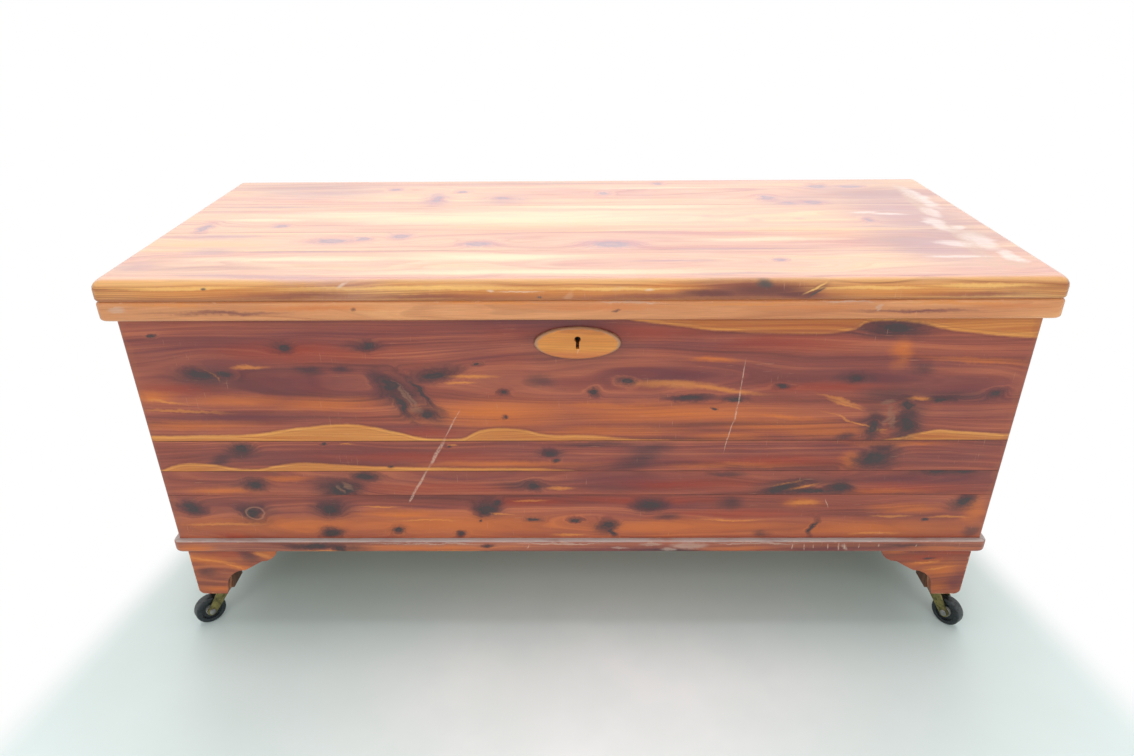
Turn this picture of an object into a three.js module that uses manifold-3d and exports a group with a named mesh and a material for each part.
// A cedar blanket chest on four swivel casters, in millimetres.
// +Z is up, the front faces -Y and +X is to the right.
// The origin is on the floor, under the middle of the whole chest.

import * as THREE from 'three';
import { mergeVertices } from 'three/addons/utils/BufferGeometryUtils.js';
import Module from 'manifold-3d';

const wasm = await Module();
wasm.setup();

// Case: four walls of edge-glued boards, the front and back rebated over the ends
const caseWidth = 1067;
const caseDepth = 440;
const caseHeight = 343.3;
const wallThickness = 19;
const rebateDepth = 9.5;
const cornerEase = 3;
const frontBoardWidths = [70, 37, 45];
const backBoardWidths = [165];
const endBoardWidths = [190];
const bottomThickness = 9.5;
const bottomClearance = 0.5;

// Lid: edge-glued boards with a rounded edge, and lip rails that hang outside the case
const lidThickness = 25.4;
const lidGap = 0.3;
const lidTopRound = 11;
const lidLowRound = 3.5;
const lidCornerRound = 8;
const lidBoardWidths = [104, 75, 127];
const railThickness = 12;
const railClearance = 1.1;
const railHeight = 24;
const railRound = 4;
const battenWidth = 45;
const battenThickness = 16;
const battenInset = 22;
const battenChamfer = 8;
const battenEndInset = 233.5;

// Base frame under the case, with a nosed edge on the front and the sides
const baseThickness = 19;
const baseReach = 7;
const baseTopRound = 3;
const baseLowRound = 5;
const baseCornerRound = 9;
const baseLedge = 22;

// Bracket feet: scroll-cut boards round a square post, set back from the faces of the case
const footHeight = 81.7;
const footSetback = 4.5;
const bracketThickness = 12.7;
const bracketLength = 121.5;
const toeWidth = 39;
const toeFlare = 3;
const toeRise = 12;
const toeCornerRound = 8;
const coveRadius = 30;
const ovoloRadius = 24.5;
const postSize = 31;

// Swivel casters
const casterHeight = 53;
const stemInset = 27;
const stemRadius = 4;
const stemLength = 34;
const stemClearance = 0.4;
const gripLength = 6;
const gripRadius = 3;
const raceRadius = 11;
const raceNeckRadius = 6.5;
const raceHeight = 5;
const raceGap = 0.4;
const crownThickness = 2;
const crownFront = 12;
const crownBack = 9;
const legThickness = 2;
const legEndRadius = 6.5;
const trail = 24;
const wheelDiameter = 41.3;
const wheelWidth = 14;
const wheelShoulder = 3;
const wheelWebDepth = 3;
const wheelRimDepth = 7;
const hubRadius = 7.5;
const forkClearance = 1;
const axleRadius = 2.5;
const axleHeadRadius = 4.5;
const axleHeadThickness = 1.5;
const turnClearance = 0.35;

// Where each caster trails, in degrees from +X
const casterTrails = {
  front_left: 222,
  front_right: -54,
  back_left: -20,
  back_right: 206,
};

// Butt hinges, let into the back wall and the lid
const hingeEndInset = 163.5;
const hingeLength = 64;
const leafReach = 17;
const leafThickness = 1.8;
const knuckleCount = 5;
const knuckleRadius = 3.6;
const pinRadius = 1.7;
const pinHeadRadius = 2.8;
const pinHeadThickness = 1.2;
const hingeGap = 0.3;

// Lock, staple and escutcheon
const lockWidth = 64;
const lockHeight = 66;
const lockDepth = 12.5;
const lockFlange = 12;
const lockFlangeThickness = 1.5;
const lockTopDrop = 2.4;
const boltLength = 26;
const boltHeight = 7;
const boltThickness = 5;
const boltDrop = 12;
const boltClearance = 0.4;
const boltTravel = 13;
const boltStandOff = 2.5;
const stapleThickness = 4;
const stapleWall = 2.2;
const stapleClearance = 0.9;
const staplePlateWidth = 40;
const staplePlateThickness = 1.6;
const pocketClearance = 1.2;
const keyDrop = 50.3;
const keyHeadRadius = 3.7;
const keySlotWidth = 3.6;
const keySlotDrop = 12;
const keyDepth = 9;
const escutcheonWidth = 102;
const escutcheonHeight = 41;
const escutcheonThickness = 6;
const escutcheonRound = 4.5;
const escutcheonDrop = 56.3;

// Folding lid stay at the right end: two equal arms, a plate on the case and a bracket on the lid
const stayArmLength = 150;
const stayArmThickness = 2.5;
const stayArmHalfWidth = 7;
const stayPlateThickness = 2;
const stayGap = 0.3;
const stayStudRadius = 3;
const stayHeadRadius = 5;
const stayHeadThickness = 1.6;
const stayCaseDrop = 36;
const stayLidDrop = 10;
const stayPlateLength = 56;
const stayPlateHeight = 30;
const stayBracketLength = 44;
const stayBracketReach = 22;

// Shared working values
const overrun = 5;
const mitreGap = 0.3;
const quarterSteps = 5;
const wheelSides = 28;
const rodSides = 18;
const ellipseSides = 36;

// Heights above the floor
const footBottom = casterHeight;
const baseBottom = footBottom + footHeight;
const caseBottom = baseBottom + baseThickness;
const rim = caseBottom + caseHeight;
const lidBottom = rim + lidGap;
const lidTop = lidBottom + lidThickness;

// Places in plan
const lidReach = railThickness + railClearance;
const barrelReach = 2 * knuckleRadius + hingeGap;
const totalDepth = lidReach + caseDepth + barrelReach;
const lidFront = -totalDepth / 2;
const caseFront = lidFront + lidReach;
const caseBack = caseFront + caseDepth;
const caseHalf = caseWidth / 2;
const lidHalf = caseHalf + lidReach;
const innerHalf = caseHalf - wallThickness;
const innerFront = caseFront + wallThickness;
const innerBack = caseBack - wallThickness;
const stemHalf = caseHalf - stemInset;
const stemFront = caseFront + stemInset;
const stemBack = caseBack - stemInset;
const footHalf = caseHalf - footSetback;
const footFront = caseFront + footSetback;
const battenOffset = caseHalf - battenEndInset;
const hingeOffset = caseHalf - hingeEndInset;
const hingeAxisY = caseBack + hingeGap + knuckleRadius;
const hingeAxisZ = rim + lidGap / 2;

const cedar = new THREE.MeshStandardMaterial({ color: 0xa05c40, roughness: 0.38, metalness: 0 });
const paleCedar = new THREE.MeshStandardMaterial({ color: 0xcb9258, roughness: 0.4, metalness: 0 });
const rawCedar = new THREE.MeshStandardMaterial({ color: 0xb87f5c, roughness: 0.8, metalness: 0 });
const brass = new THREE.MeshStandardMaterial({ color: 0x8a8450, roughness: 0.35, metalness: 1 });
const steel = new THREE.MeshStandardMaterial({ color: 0x8d8d8a, roughness: 0.4, metalness: 1 });
const blackRubber = new THREE.MeshStandardMaterial({ color: 0x1c2327, roughness: 0.4, metalness: 0 });

const chest = new THREE.Group();

// Solids and outlines

// Turns a closed geometry into a solid whose faces point outwards
function solidFrom(geometry) {
  geometry.deleteAttribute('normal');
  geometry.deleteAttribute('uv');
  const merged = mergeVertices(geometry);
  const vertProperties = new Float32Array(merged.attributes.position.array);
  const corners = merged.index.array;
  const kept = [];
  const [a, b, c] = [new THREE.Vector3(), new THREE.Vector3(), new THREE.Vector3()];
  let volume = 0;
  for (let i = 0; i < corners.length; i += 3) {
    const [p, q, r] = [corners[i], corners[i + 1], corners[i + 2]];
    if (p === q || q === r || r === p) continue;
    kept.push(p, q, r);
    a.fromArray(vertProperties, p * 3);
    b.fromArray(vertProperties, q * 3);
    c.fromArray(vertProperties, r * 3);
    volume += a.dot(b.cross(c));
  }
  if (volume < 0) kept.reverse();
  return new wasm.Manifold(new wasm.Mesh({ numProp: 3, vertProperties, triVerts: new Uint32Array(kept) }));
}

// A block between two opposite corners
function block(low, high) {
  const geometry = new THREE.BoxGeometry(1, 1, 1);
  const position = geometry.attributes.position;
  for (let i = 0; i < position.count; i++) {
    position.setX(i, position.getX(i) < 0 ? low[0] : high[0]);
    position.setY(i, position.getY(i) < 0 ? low[1] : high[1]);
    position.setZ(i, position.getZ(i) < 0 ? low[2] : high[2]);
  }
  return solidFrom(geometry);
}

// Where an outline's point lands when it is extruded along an axis
const onAxis = {
  x: (u, v, w) => [w, u, v],
  y: (u, v, w) => [u, w, v],
  z: (u, v, w) => [u, v, w],
};

// Extrudes an outline of [u, v] points along an axis, from one place on it to another
function prism(points, axis, from, to) {
  const shape = new THREE.Shape(points.map(([u, v]) => new THREE.Vector2(u, v)));
  const geometry = new THREE.ExtrudeGeometry(shape, { depth: 1, bevelEnabled: false });
  const position = geometry.attributes.position;
  for (let i = 0; i < position.count; i++) {
    const along = position.getZ(i) < 1 / 2 ? from : to;
    position.setXYZ(i, ...onAxis[axis](position.getX(i), position.getY(i), along));
  }
  return solidFrom(geometry);
}

function arcPoints(u, v, radius, fromDegrees, toDegrees, steps) {
  const points = [];
  for (let k = 0; k <= steps; k++) {
    const angle = THREE.MathUtils.degToRad(fromDegrees + (toDegrees - fromDegrees) * k / steps);
    points.push([u + radius * Math.cos(angle), v + radius * Math.sin(angle)]);
  }
  return points;
}

// A round rod along an axis; its centre is given in the plane across that axis
function rod(axis, u, v, radius, from, to) {
  const circle = arcPoints(u, v, radius, 0, 360, rodSides).slice(1);
  return prism(circle, axis, from, to);
}

// A flat link with round ends between two points
function linkOutline([u0, v0], [u1, v1], radius) {
  const heading = THREE.MathUtils.radToDeg(Math.atan2(v1 - v0, u1 - u0));
  const farEnd = arcPoints(u1, v1, radius, heading - 90, heading + 90, 2 * quarterSteps);
  const nearEnd = arcPoints(u0, v0, radius, heading + 90, heading + 270, 2 * quarterSteps);
  return [...farEnd, ...nearEnd];
}

// Closes a stack of equal rings of points; the end rings are convex
function loft(rings) {
  const count = rings[0].length;
  const last = (rings.length - 1) * count;
  const index = [];
  for (let ring = 0; ring < last; ring += count) {
    for (let i = 0; i < count; i++) {
      const next = (i + 1) % count;
      index.push(ring + i, ring + next, ring + count + next);
      index.push(ring + i, ring + count + next, ring + count + i);
    }
  }
  for (let i = 1; i + 1 < count; i++) {
    index.push(0, i + 1, i);
    index.push(last, last + i, last + i + 1);
  }
  const geometry = new THREE.BufferGeometry();
  geometry.setAttribute('position', new THREE.Float32BufferAttribute(rings.flat(2), 3));
  geometry.setIndex(index);
  return solidFrom(geometry);
}

// The section of a rounded edge, as pairs of inset and height
function edgeSection(height, lowRound, topRound) {
  const section = [];
  for (const [inset, rise] of arcPoints(0, 0, 1, -90, 0, quarterSteps)) {
    section.push([lowRound * (1 - inset), lowRound * (1 + rise)]);
  }
  for (const [inset, rise] of arcPoints(0, 0, 1, 0, 90, quarterSteps)) {
    section.push([topRound * (1 - inset), height - topRound * (1 - rise)]);
  }
  return section;
}

// A slab whose edge is rounded at the front and both sides and square at the back
function roundedSlab(half, front, back, corner, bottom, section) {
  return loft(section.map(([inset, height]) => {
    const side = half - inset - corner;
    const fore = front + inset + corner;
    const left = arcPoints(-side, fore, corner, 180, 270, quarterSteps);
    const right = arcPoints(side, fore, corner, 270, 360, quarterSteps);
    const plan = [[-half + inset, back], ...left, ...right, [half - inset, back]];
    return plan.map(([x, y]) => [x, y, bottom + height]);
  }));
}

// Adds a finished piece to a group under its own name
function addPiece(name, solid, material, group = chest) {
  const { vertProperties, triVerts } = solid.getMesh();
  const geometry = new THREE.BufferGeometry();
  geometry.setAttribute('position', new THREE.BufferAttribute(vertProperties, 3));
  geometry.setIndex(new THREE.BufferAttribute(triVerts, 1));
  geometry.computeVertexNormals();
  const mesh = new THREE.Mesh(geometry, material);
  mesh.name = name;
  group.add(mesh);
}

// The edges of a row of boards: given widths from one side, and the last board takes the rest
function boardEdges(start, widths, end) {
  const edges = [start];
  for (const width of widths) edges.push(edges.at(-1) + width);
  edges.push(end);
  return edges;
}

// Case

// Plan of a front or back wall: eased at its outer corners, rebated at its ends for the end walls
function wallPlan(outer, inward) {
  const inner = outer + inward * wallThickness;
  const lip = outer + inward * (wallThickness - rebateDepth);
  const eased = arcPoints(0, 0, cornerEase, 0, 90, quarterSteps).map(([u, v]) => [
    caseHalf - cornerEase + u,
    outer + inward * (cornerEase - v),
  ]);
  const right = [[innerHalf, inner], [innerHalf, lip], [caseHalf, lip], ...eased];
  const left = right.map(([x, y]) => [-x, y]).reverse();
  return [...right, ...left];
}

function keyholeOutline(x, z) {
  const half = keySlotWidth / 2;
  const turn = THREE.MathUtils.radToDeg(Math.asin(half / keyHeadRadius));
  const head = arcPoints(x, z, keyHeadRadius, turn - 90, 270 - turn, 3 * quarterSteps);
  return [[x + half, z - keySlotDrop], ...head, [x - half, z - keySlotDrop]];
}

function keyhole(from, to) {
  return prism(keyholeOutline(0, rim - keyDrop), 'y', from, to);
}

function addFront() {
  const plan = wallPlan(caseFront, 1);
  const edges = boardEdges(caseBottom, frontBoardWidths, rim);
  for (let k = 1; k < edges.length; k++) {
    let board = prism(plan, 'z', edges[k - 1], edges[k]);
    if (edges[k] === rim) board = board.subtract(keyhole(caseFront - overrun, innerFront + overrun));
    addPiece(`front_board_${k}`, board, cedar);
  }
}

function addBack() {
  const plan = wallPlan(caseBack, -1);
  const edges = boardEdges(caseBottom, backBoardWidths, rim);
  for (let k = 1; k < edges.length; k++) {
    let board = prism(plan, 'z', edges[k - 1], edges[k]);
    if (edges[k] === rim) {
      const floor = rim - leafThickness - hingeGap;
      for (const side of [-1, 1]) board = board.subtract(leafRecess(side, floor, rim + overrun));
    }
    addPiece(`back_board_${k}`, board, cedar);
  }
}

function addEnd(name, side) {
  const edges = boardEdges(caseBottom, endBoardWidths, rim);
  const [low, high] = [side * caseHalf, side * innerHalf].sort((a, b) => a - b);
  const front = caseFront + (wallThickness - rebateDepth);
  const back = caseBack - (wallThickness - rebateDepth);
  for (let k = 1; k < edges.length; k++) {
    addPiece(`${name}_end_board_${k}`, block([low, front, edges[k - 1]], [high, back, edges[k]]), cedar);
  }
}

function addBottom() {
  const low = [-innerHalf + bottomClearance, innerFront + bottomClearance, caseBottom];
  const high = [innerHalf - bottomClearance, innerBack - bottomClearance, caseBottom + bottomThickness];
  addPiece('bottom_panel', block(low, high), rawCedar);
}

// Mitred frames: the front piece and the side pieces of a frame, in plan

function frontMitre(half, front, reach, bottom, top) {
  const gap = mitreGap / Math.SQRT2;
  const outer = half + overrun - gap;
  const inner = half - reach - gap;
  const plan = [
    [-outer, front - overrun],
    [outer, front - overrun],
    [inner, front + reach],
    [-inner, front + reach],
  ];
  return prism(plan, 'z', bottom - overrun, top + overrun);
}

function sideMitre(side, half, front, back, reach, bottom, top) {
  const gap = mitreGap / Math.SQRT2;
  const outer = half + overrun;
  const inner = half - reach;
  const plan = [
    [side * outer, front - overrun + gap],
    [side * inner, front + reach + gap],
    [side * inner, back + overrun],
    [side * outer, back + overrun],
  ];
  return prism(plan, 'z', bottom - overrun, top + overrun);
}

function addBaseFrame() {
  const half = caseHalf + baseReach;
  const front = caseFront - baseReach;
  const railWidth = baseReach + wallThickness + baseLedge;
  const backWidth = wallThickness + baseLedge;
  const section = edgeSection(baseThickness, baseLowRound, baseTopRound);
  const slab = roundedSlab(half, front, caseBack, baseCornerRound, baseBottom, section);
  const backStart = caseBack - backWidth;
  const opening = block(
    [-half + railWidth, front + railWidth, baseBottom - overrun],
    [half - railWidth, backStart, caseBottom + overrun],
  );
  const frame = slab.subtract(opening);
  const backCut = block(
    [-half + railWidth, backStart, baseBottom - overrun],
    [half - railWidth, caseBack + overrun, caseBottom + overrun],
  );
  const frontCut = frontMitre(half, front, railWidth, baseBottom, caseBottom);
  addPiece('base_front_rail', frame.intersect(frontCut), cedar);
  addPiece('base_back_rail', frame.intersect(backCut), cedar);
  for (const [name, side] of [['left', -1], ['right', 1]]) {
    const cut = sideMitre(side, half, front, caseBack, railWidth, baseBottom, caseBottom);
    addPiece(`base_${name}_rail`, frame.intersect(cut), cedar);
  }
}

// Feet

// A bracket seen square on: u runs inwards from the chest's corner, v up from the foot's underside
function bracketOutline() {
  const coveCentre = toeWidth + toeFlare + coveRadius;
  return [
    [0, footHeight],
    ...arcPoints(toeCornerRound, toeCornerRound, toeCornerRound, 180, 270, quarterSteps),
    [toeWidth, 0],
    ...arcPoints(coveCentre, toeRise, coveRadius, 180, 90, quarterSteps),
    ...arcPoints(bracketLength - ovoloRadius, footHeight, ovoloRadius, 270, 360, quarterSteps),
  ];
}

function addFrontFoot(name, side) {
  const outline = bracketOutline();
  const facing = outline.map(([u, v]) => [side * (footHalf - u), footBottom + v]);
  const returning = outline.map(([u, v]) => [footFront + u, footBottom + v]);
  const faceStock = prism(facing, 'y', footFront, footFront + bracketThickness);
  const sideInner = side * (footHalf - bracketThickness);
  const sideStock = prism(returning, 'x', side * footHalf, sideInner);
  const frontCut = frontMitre(footHalf, footFront, bracketThickness, footBottom, baseBottom);
  const sideCut = sideMitre(side, footHalf, footFront, caseBack, bracketThickness, footBottom, baseBottom);
  addPiece(`${name}_foot_face`, faceStock.intersect(frontCut), cedar);
  addPiece(`${name}_foot_side`, sideStock.intersect(sideCut), cedar);
  addPost(name, side, footFront + bracketThickness, footFront + bracketThickness + postSize, stemFront);
}

function addBackFoot(name, side) {
  const returning = bracketOutline().map(([u, v]) => [caseBack - u, footBottom + v]);
  const sideInner = side * (footHalf - bracketThickness);
  addPiece(`${name}_foot_side`, prism(returning, 'x', side * footHalf, sideInner), cedar);
  addPost(name, side, caseBack - bracketThickness - postSize, caseBack, stemBack);
}

// The square post behind a foot's brackets, bored for the caster's stem
function addPost(name, side, front, back, stemY) {
  const outer = side * (footHalf - bracketThickness);
  const inner = outer - side * postSize;
  const [low, high] = [outer, inner].sort((a, b) => a - b);
  const post = block([low, front, footBottom], [high, back, baseBottom]);
  const boreRadius = stemRadius + stemClearance;
  const boreTop = footBottom + stemLength + stemClearance;
  const bore = rod('z', side * stemHalf, stemY, boreRadius, footBottom - overrun, boreTop);
  addPiece(`${name}_foot_post`, post.subtract(bore), rawCedar);
}

// Casters: in each one's own frame the stem is on Z and the wheel trails along +X,
// with zero at the foot's underside

// A revolved piece about Z or Y, from a profile of [radius, height] points
function revolve(profile, sides, alongY) {
  const points = profile.map(([r, h]) => new THREE.Vector2(r, h));
  const geometry = new THREE.LatheGeometry(points, sides, Math.PI / sides);
  if (!alongY) geometry.rotateX(Math.PI / 2);
  return solidFrom(geometry);
}

function casterFork() {
  const inner = wheelWidth / 2 + forkClearance;
  const outer = inner + legThickness;
  const crownTop = -raceGap - raceHeight;
  const crownBottom = crownTop - crownThickness;
  const axleZ = wheelDiameter / 2 - casterHeight;
  const crown = block([-crownBack, -outer, crownBottom], [crownFront, outer, crownTop]);
  const legOutline = [
    [-crownBack, crownTop],
    ...arcPoints(trail, axleZ, legEndRadius, 225, 405, 2 * quarterSteps),
    [crownFront, crownTop],
  ];
  const neckTop = crownTop + raceHeight;
  const stemTop = stemLength;
  const grip = stemTop - gripLength;
  const stem = revolve([
    [0, crownBottom],
    [raceNeckRadius, crownBottom],
    [raceRadius, crownTop + raceHeight / 2],
    [raceRadius, neckTop],
    [stemRadius, neckTop],
    [stemRadius, grip - gripLength],
    [gripRadius, grip],
    [stemRadius, stemTop - gripRadius],
    [gripRadius, stemTop],
    [0, stemTop],
  ], rodSides, false);
  let fork = crown.add(stem);
  for (const side of [-1, 1]) fork = fork.add(prism(legOutline, 'y', side * inner, side * outer));
  const bore = rod('y', trail, axleZ, axleRadius + turnClearance, -outer - overrun, outer + overrun);
  return fork.subtract(bore);
}

function casterAxle() {
  const shoulder = wheelWidth / 2 + forkClearance + legThickness + turnClearance;
  const end = shoulder + axleHeadThickness;
  return revolve([
    [0, -end],
    [axleRadius, -end],
    [axleHeadRadius, -shoulder - axleHeadThickness / 2],
    [axleHeadRadius, -shoulder],
    [axleRadius, -shoulder],
    [axleRadius, shoulder],
    [axleHeadRadius, shoulder],
    [axleHeadRadius, shoulder + axleHeadThickness / 2],
    [axleRadius, end],
    [0, end],
  ], rodSides, true);
}

// The wheel's flats lie at its stated radius, and it stands on one of them
function casterWheel() {
  const radius = wheelDiameter / 2 / Math.cos(Math.PI / wheelSides);
  const bore = axleRadius + turnClearance;
  const half = wheelWidth / 2;
  const web = half - wheelWebDepth;
  const treadInner = radius - wheelRimDepth;
  const side = [
    [bore, half],
    [hubRadius, half],
    [hubRadius, web],
    [treadInner, web],
    [treadInner, half],
    [radius - wheelShoulder, half],
    [radius - wheelShoulder * (1 - Math.SQRT1_2), half - wheelShoulder * (1 - Math.SQRT1_2)],
    [radius, half - wheelShoulder],
  ];
  const otherSide = side.map(([r, h]) => [r, -h]).reverse();
  return revolve([...side, ...otherSide, side[0]], wheelSides, true);
}

function addCaster(name, side, stemY) {
  const caster = new THREE.Group();
  caster.position.set(side * stemHalf, stemY, footBottom);
  caster.rotation.z = THREE.MathUtils.degToRad(casterTrails[name]);
  const wheelPlace = new THREE.Group();
  wheelPlace.position.set(trail, 0, wheelDiameter / 2 - casterHeight);
  addPiece(`${name}_caster_fork`, casterFork(), brass, caster);
  addPiece(`${name}_caster_axle`, casterAxle(), steel, wheelPlace);
  addPiece(`${name}_caster_wheel`, casterWheel(), blackRubber, wheelPlace);
  caster.add(wheelPlace);
  chest.add(caster);
}

// Lid

function addLidBoards() {
  const section = edgeSection(lidThickness, lidLowRound, lidTopRound);
  const slab = roundedSlab(lidHalf, lidFront, caseBack, lidCornerRound, lidBottom, section);
  const edges = boardEdges(lidFront, lidBoardWidths, caseBack);
  for (let k = 1; k < edges.length; k++) {
    const low = [-lidHalf - overrun, edges[k - 1], lidBottom - overrun];
    const high = [lidHalf + overrun, edges[k], lidTop + overrun];
    let board = slab.intersect(block(low, high));
    if (edges[k] === caseBack) {
      const ceiling = lidBottom + leafThickness + hingeGap;
      for (const side of [-1, 1]) board = board.subtract(leafRecess(side, lidBottom - overrun, ceiling));
    }
    addPiece(`lid_board_${k}`, board, cedar);
  }
}

function addLipRails() {
  const bottom = lidBottom - railHeight;
  const section = edgeSection(railHeight, railRound, railRound);
  const slab = roundedSlab(lidHalf, lidFront, caseBack, lidCornerRound, bottom, section);
  const hollow = block(
    [-lidHalf + railThickness, lidFront + railThickness, bottom - overrun],
    [lidHalf - railThickness, caseBack + overrun, lidBottom + overrun],
  );
  const frame = slab.subtract(hollow);
  const frontCut = frontMitre(lidHalf, lidFront, railThickness, bottom, lidBottom);
  addPiece('lid_front_rail', frame.intersect(frontCut), cedar);
  for (const [name, side] of [['left', -1], ['right', 1]]) {
    const cut = sideMitre(side, lidHalf, lidFront, caseBack, railThickness, bottom, lidBottom);
    addPiece(`lid_${name}_rail`, frame.intersect(cut), cedar);
  }
}

function addBattens() {
  const bottom = lidBottom - battenThickness;
  const front = innerFront + battenInset;
  const back = innerBack - battenInset;
  const outline = [
    [front, lidBottom],
    [front, bottom + battenChamfer],
    [front + battenChamfer, bottom],
    [back - battenChamfer, bottom],
    [back, bottom + battenChamfer],
    [back, lidBottom],
  ];
  for (const [name, side] of [['left', -1], ['right', 1]]) {
    const middle = side * battenOffset;
    const batten = prism(outline, 'x', middle - battenWidth / 2, middle + battenWidth / 2);
    addPiece(`${name}_lid_batten`, batten, rawCedar);
  }
}

// Hinges

// The room that a leaf is let into, between two heights
function leafRecess(side, bottom, top) {
  const half = hingeLength / 2 + hingeGap;
  const middle = side * hingeOffset;
  const front = caseBack - leafReach - hingeGap;
  return block([middle - half, front, bottom], [middle + half, caseBack + overrun, top]);
}

// A leaf with every second knuckle; the plate lies on one side of the hinge's axis
function hingeLeaf(side, plateBottom, firstKnuckle) {
  const middle = side * hingeOffset;
  const start = middle - hingeLength / 2;
  const end = start + hingeLength;
  const pitch = hingeLength / knuckleCount;
  const plateTop = plateBottom + leafThickness;
  let leaf = block(
    [start, caseBack - leafReach, plateBottom],
    [end, caseBack, plateTop],
  );
  for (let k = firstKnuckle; k < knuckleCount; k += 2) {
    const from = start + k * pitch + hingeGap / 2;
    const to = start + (k + 1) * pitch - hingeGap / 2;
    const neck = block([from, caseBack - hingeGap, plateBottom], [to, hingeAxisY, plateTop]);
    leaf = leaf.add(neck).add(rod('x', hingeAxisY, hingeAxisZ, knuckleRadius, from, to));
  }
  const bore = rod('x', hingeAxisY, hingeAxisZ, pinRadius + hingeGap, start - overrun, end + overrun);
  return leaf.subtract(bore);
}

function hingePin(side) {
  const middle = side * hingeOffset;
  const half = hingeLength / 2 + hingeGap;
  const end = half + pinHeadThickness;
  const shank = rod('x', hingeAxisY, hingeAxisZ, pinRadius, middle - end, middle + end);
  const leftHead = rod('x', hingeAxisY, hingeAxisZ, pinHeadRadius, middle - end, middle - half);
  const rightHead = rod('x', hingeAxisY, hingeAxisZ, pinHeadRadius, middle + half, middle + end);
  return shank.add(leftHead).add(rightHead);
}

function addHinge(name, side) {
  addPiece(`${name}_hinge_lower_leaf`, hingeLeaf(side, rim - leafThickness, 0), brass);
  addPiece(`${name}_hinge_upper_leaf`, hingeLeaf(side, lidBottom, 1), brass);
  addPiece(`${name}_hinge_pin`, hingePin(side), brass);
}

// Lock: the bolt slides through the lid's staple inside the lock case

function addLock() {
  const back = innerFront + lockDepth;
  const top = rim - lockTopDrop;
  const bottom = top - lockHeight;
  const half = lockWidth / 2;
  const boltY = innerFront + lockDepth / 2;
  const boltTop = rim - boltDrop + boltHeight / 2;
  const boltBottom = boltTop - boltHeight;
  const stapleHalf = boltThickness / 2 + stapleClearance + stapleWall;
  const stapleFoot = boltBottom - stapleClearance - stapleWall;
  const pocketHalf = stapleThickness / 2 + boltStandOff;
  const boltTip = -pocketHalf;
  const channelEnd = boltTip + boltTravel + 2 * boltClearance;
  const channelHalf = boltThickness / 2 + boltClearance;

  const box = block([-half, innerFront, bottom], [half, back, top]);
  const flangeHalf = half + lockFlange;
  const flange = block(
    [-flangeHalf, innerFront, bottom],
    [flangeHalf, innerFront + lockFlangeThickness, top],
  );
  const channel = block(
    [boltTip - boltLength - boltClearance, boltY - channelHalf, boltBottom - boltClearance],
    [channelEnd, boltY + channelHalf, boltTop + boltClearance],
  );
  const pocket = block(
    [-pocketHalf, boltY - stapleHalf - pocketClearance / 2, stapleFoot - pocketClearance],
    [pocketHalf, boltY + stapleHalf + pocketClearance / 2, top + overrun],
  );
  const keyCut = keyhole(innerFront - overrun, innerFront + keyDepth);
  addPiece('lock_case', box.add(flange).subtract(channel).subtract(pocket).subtract(keyCut), steel);

  const bolt = block(
    [boltTip - boltLength, boltY - boltThickness / 2, boltBottom],
    [boltTip, boltY + boltThickness / 2, boltTop],
  );
  addPiece('lock_bolt', bolt, brass);

  const plateHalf = staplePlateWidth / 2;
  const plate = block(
    [-plateHalf, boltY - stapleHalf, lidBottom - staplePlateThickness],
    [plateHalf, boltY + stapleHalf, lidBottom],
  );
  const loop = block(
    [-stapleThickness / 2, boltY - stapleHalf, stapleFoot],
    [stapleThickness / 2, boltY + stapleHalf, lidBottom],
  );
  const eyeHalf = boltThickness / 2 + stapleClearance;
  const eye = block(
    [-stapleThickness, boltY - eyeHalf, boltBottom - stapleClearance],
    [stapleThickness, boltY + eyeHalf, boltTop + stapleClearance],
  );
  addPiece('lock_strike', plate.add(loop).subtract(eye), brass);
}

function addEscutcheon() {
  const section = edgeSection(escutcheonThickness, 0, escutcheonRound);
  const centreZ = rim - escutcheonDrop;
  const rings = section.slice(quarterSteps).map(([inset, height]) => {
    const circle = arcPoints(0, 0, 1, 0, 360, ellipseSides).slice(1);
    const [halfWidth, halfHeight] = [escutcheonWidth / 2 - inset, escutcheonHeight / 2 - inset];
    return circle.map(([u, v]) => [halfWidth * u, caseFront - height, centreZ + halfHeight * v]);
  });
  const outFront = caseFront - escutcheonThickness - overrun;
  const plate = loft(rings).subtract(keyhole(outFront, caseFront + overrun));
  addPiece('escutcheon', plate, paleCedar);
}

// Lid stay: with the hinge's axis the two arms and their pivots make a parallelogram at every lid angle

// A pivot of the stay, one arm's length from the hinge's axis and some way below the rim
function stayPivot(drop) {
  const z = rim - drop;
  const below = hingeAxisZ - z;
  return [hingeAxisY - Math.sqrt(stayArmLength ** 2 - below ** 2), z];
}

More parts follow.
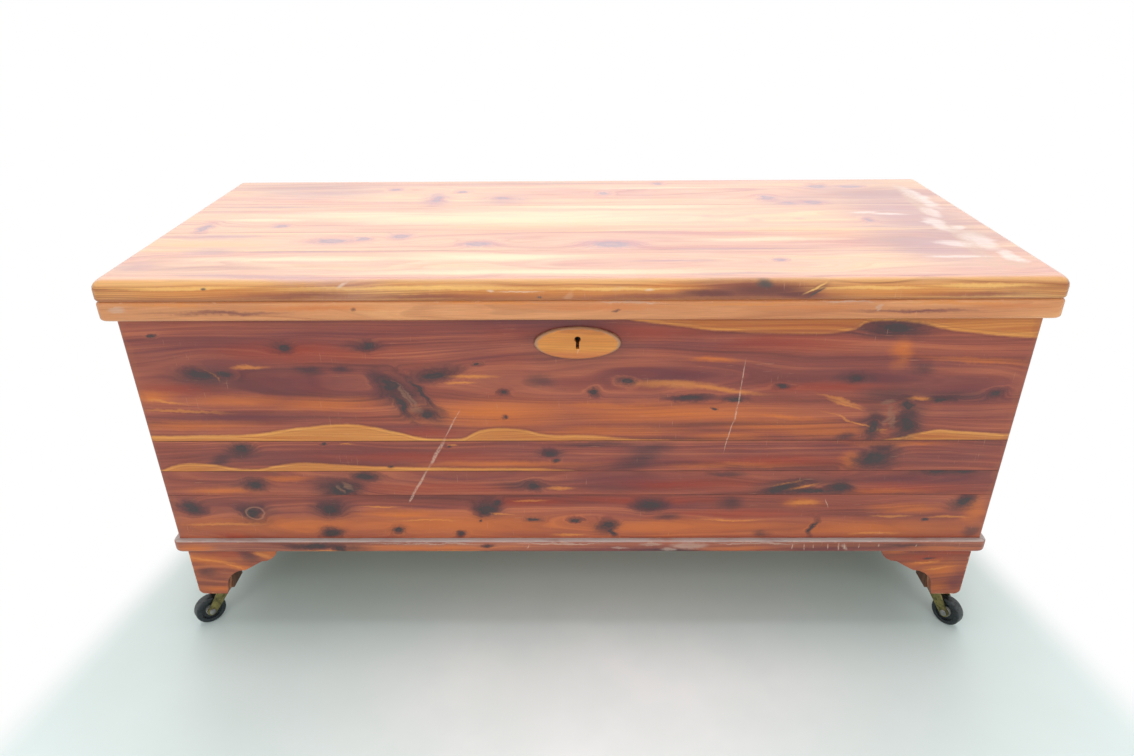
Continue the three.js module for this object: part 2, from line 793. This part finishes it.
function addStay() {
  const casePivot = stayPivot(stayCaseDrop);
  const lidPivot = stayPivot(stayLidDrop);
  const knee = [casePivot[0] + lidPivot[0] - hingeAxisY, casePivot[1] + lidPivot[1] - hingeAxisZ];

  const plateIn = innerHalf - stayPlateThickness;
  const lowerOut = plateIn - stayGap;
  const lowerIn = lowerOut - stayArmThickness;
  const upperOut = lowerIn - stayGap;
  const upperIn = upperOut - stayArmThickness;
  const earOut = upperIn - stayGap;
  const earIn = earOut - stayPlateThickness;
  const hole = stayStudRadius + stayGap;

  const plate = block(
    [plateIn, casePivot[0] - stayPlateLength / 2, casePivot[1] - stayPlateHeight / 2],
    [innerHalf, casePivot[0] + stayPlateLength / 2, casePivot[1] + stayPlateHeight / 2],
  );
  const caseHeadOut = lowerIn - stayGap;
  const caseStud = rod('x', ...casePivot, stayStudRadius, caseHeadOut, innerHalf);
  const caseHead = rod('x', ...casePivot, stayHeadRadius, caseHeadOut - stayHeadThickness, caseHeadOut);
  addPiece('stay_case_bracket', plate.add(caseStud).add(caseHead), brass);

  const lowerHole = rod('x', ...casePivot, hole, lowerIn - overrun, lowerOut + overrun);
  const kneeHeadOut = upperIn - stayGap;
  const kneeStud = rod('x', ...knee, stayStudRadius, kneeHeadOut, lowerOut);
  const kneeHead = rod('x', ...knee, stayHeadRadius, kneeHeadOut - stayHeadThickness, kneeHeadOut);
  const lowerArm = prism(linkOutline(casePivot, knee, stayArmHalfWidth), 'x', lowerIn, lowerOut);
  addPiece('stay_lower_arm', lowerArm.subtract(lowerHole).add(kneeStud).add(kneeHead), brass);

  const upperArm = prism(linkOutline(lidPivot, knee, stayArmHalfWidth), 'x', upperIn, upperOut);
  const lidHole = rod('x', ...lidPivot, hole, upperIn - overrun, upperOut + overrun);
  const kneeHole = rod('x', ...knee, hole, upperIn - overrun, upperOut + overrun);
  addPiece('stay_upper_arm', upperArm.subtract(lidHole).subtract(kneeHole), brass);

  const footTop = lidBottom;
  const footHalf = stayBracketLength / 2;
  const foot = block(
    [earOut - stayBracketReach, lidPivot[0] - footHalf, footTop - stayPlateThickness],
    [earOut, lidPivot[0] + footHalf, footTop],
  );
  const ear = prism([
    [lidPivot[0] - footHalf, footTop],
    ...arcPoints(...lidPivot, stayArmHalfWidth, 180, 360, 2 * quarterSteps),
    [lidPivot[0] + footHalf, footTop],
  ], 'x', earIn, earOut);
  const lidHeadIn = upperOut + stayGap;
  const lidStud = rod('x', ...lidPivot, stayStudRadius, earIn, lidHeadIn);
  const lidHead = rod('x', ...lidPivot, stayHeadRadius, lidHeadIn, lidHeadIn + stayHeadThickness);
  addPiece('stay_lid_bracket', foot.add(ear).add(lidStud).add(lidHead), brass);
}

addFront();
addBack();
addEnd('left', -1);
addEnd('right', 1);
addBottom();
addBaseFrame();
addFrontFoot('front_left', -1);
addFrontFoot('front_right', 1);
addBackFoot('back_left', -1);
addBackFoot('back_right', 1);
addEscutcheon();
addLock();
addLidBoards();
addLipRails();
addBattens();
addHinge('left', -1);
addHinge('right', 1);
addStay();
addCaster('front_left', -1, stemFront);
addCaster('front_right', 1, stemFront);
addCaster('back_left', -1, stemBack);
addCaster('back_right', 1, stemBack);

export default chest;
